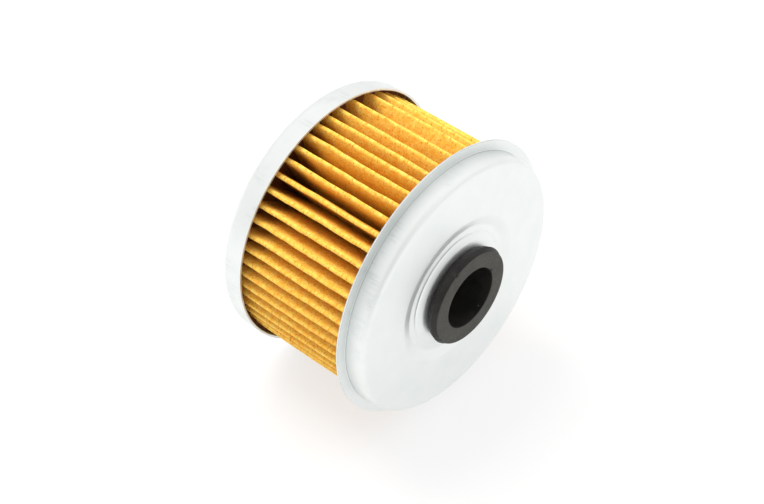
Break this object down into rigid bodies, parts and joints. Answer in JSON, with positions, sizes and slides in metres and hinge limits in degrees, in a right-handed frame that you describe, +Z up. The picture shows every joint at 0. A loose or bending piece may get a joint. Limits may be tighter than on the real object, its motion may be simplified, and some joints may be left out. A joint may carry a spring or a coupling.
{
  "type": "engine oil filter element",
  "caption": "Cartridge oil filter: pleated paper ring between two pressed steel end caps, with a rubber outlet grommet and a spring-loaded bypass valve in the closed end.",
  "frame": {"origin": "on the filter's axis, halfway between the grommet's front face and the closed cap's rear face", "axes": "+X along the filter's axis, out through the grommet; +Z up as the filter lies on its side"},
  "size_m": [0.0362, 0.054, 0.054],
  "materials": {
    "plated_steel": "satin",
    "bare_steel": "satin",
    "rubber": "matte",
    "filter_paper": "matte",
    "adhesive": "satin"
  },
  "bodies": {
    "filter_body": {"outlet_end_cap": "plated_steel", "closed_end_cap": "plated_steel", "outlet_grommet": "rubber", "pleated_paper": "filter_paper", "paper_seam_clip": "plated_steel", "outlet_adhesive": "adhesive", "closed_adhesive": "adhesive", "centre_tube": "plated_steel", "valve_stem": "bare_steel", "valve_spring": "bare_steel", "spring_retainer": "bare_steel"},
    "bypass_valve": {"valve_plate": "plated_steel", "valve_seal": "rubber"}
  },
  "joints": [
    {"name": "bypass_lift", "type": "slide", "parent": "filter_body", "child": "bypass_valve", "axis": [1, 0, 0], "range_m": [0, 0.003], "stiffness_N_per_m": 1800, "springref_m": -0.0028, "deforming": ["valve_spring"]}
  ]
}
